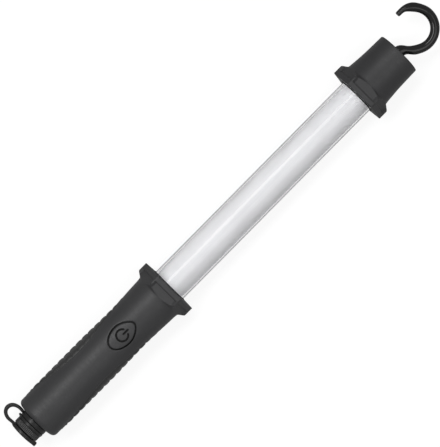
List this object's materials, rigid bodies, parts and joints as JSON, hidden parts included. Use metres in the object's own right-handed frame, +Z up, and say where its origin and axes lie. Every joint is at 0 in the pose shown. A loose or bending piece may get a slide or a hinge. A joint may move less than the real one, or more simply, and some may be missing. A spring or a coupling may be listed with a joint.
{
  "type": "inspection lamp",
  "caption": "Cordless LED stick lamp with a rubber-sleeved handle, a clear tube with an opal lining and a swivelling hook at the far end.",
  "frame": {"origin": "under the middle of the lamp's length, on the surface that its two hexagonal guards rest on", "axes": "+X along the lamp from the tail to the hook, +Z up out of the button's side, +Y to the side of the hook's mouth"},
  "size_m": [0.4606, 0.051, 0.0442],
  "materials": {
    "rubber_grip": "matt black rubber",
    "rubber_bumper": "matt black rubber",
    "rubber_seal": "satin black rubber",
    "rubber_strap": "satin black rubber",
    "black_gloss_plastic": "glossy moulded black",
    "black_shell_plastic": "fine matt moulding",
    "knurled_plastic": "fine ribbed moulding",
    "clear_plastic": "clear polished tube",
    "opal_plastic": "milky white, fine matt",
    "white_plastic": "plain white moulding",
    "green_board": "solder resist",
    "white_board": "white solder resist",
    "led_package": "yellow phosphor",
    "aluminium_rail": "drawn",
    "zinc_screw": "bright zinc plate",
    "nickel_contact": "nickel plate",
    "cell_wrap": "shrink wrap",
    "chip_black": "moulded epoxy",
    "coil_ferrite": "sintered ferrite",
    "red_wire": "wire insulation",
    "black_wire": "wire insulation",
    "brass_pin": "turned"
  },
  "bodies": {
    "lamp": {"battery_cell": "cell_wrap", "battery_cradle": "white_plastic", "battery_lead_negative": "black_wire", "battery_lead_positive": "red_wire", "board_screws": "zinc_screw", "button_gasket": "rubber_seal", "cap_strap": "rubber_strap", "carrier_rail": "aluminium_rail", "charge_leads": "red_wire", "charging_socket": "black_shell_plastic", "clear_tube": "clear_plastic", "control_board": "green_board", "diffuser_tube": "opal_plastic", "driver_chip": "chip_black", "driver_coil": "coil_ferrite", "grip_sleeve": "rubber_grip", "handle_screws": "zinc_screw", "handle_shell_front": "black_shell_plastic", "handle_shell_rear": "black_shell_plastic", "led_board": "white_board", "led_leads": "black_wire", "leds": "led_package", "left_rib_panel": "rubber_grip", "lower_seal_ring": "rubber_seal", "lower_tube_holder": "black_shell_plastic", "negative_contact": "nickel_contact", "positive_contact": "nickel_contact", "right_rib_panel": "rubber_grip", "socket_pin": "brass_pin", "strap_ring": "rubber_strap", "switch_body": "chip_black", "tail_collar": "knurled_plastic", "top_bumper": "rubber_bumper", "top_cap_core": "black_shell_plastic", "upper_seal_ring": "rubber_seal", "upper_tube_holder": "black_shell_plastic"},
    "button": {"button_pad": "rubber_grip", "switch_plunger": "white_plastic"},
    "hook": {"hook": "black_gloss_plastic", "hook_washer": "zinc_screw", "hook_screw": "zinc_screw"},
    "socket_cap": {"socket_cap": "rubber_strap"}
  },
  "joints": [
    {"name": "button_press", "type": "slide", "parent": "lamp", "child": "button", "axis": [0, 0, -1], "range_m": [0, 0.0008], "stiffness_N_per_m": 600, "springref_m": -0.0006},
    {"name": "hook_swivel", "type": "hinge", "parent": "lamp", "child": "hook", "pos_m": [0.1879, 0, 0.02208], "axis": [1, 0, 0], "continuous": true},
    {"name": "cap_pull", "type": "slide", "parent": "lamp", "child": "socket_cap", "axis": [-1, 0, 0], "range_m": [0, 0.012], "deforming": ["cap_strap"]}
  ]
}
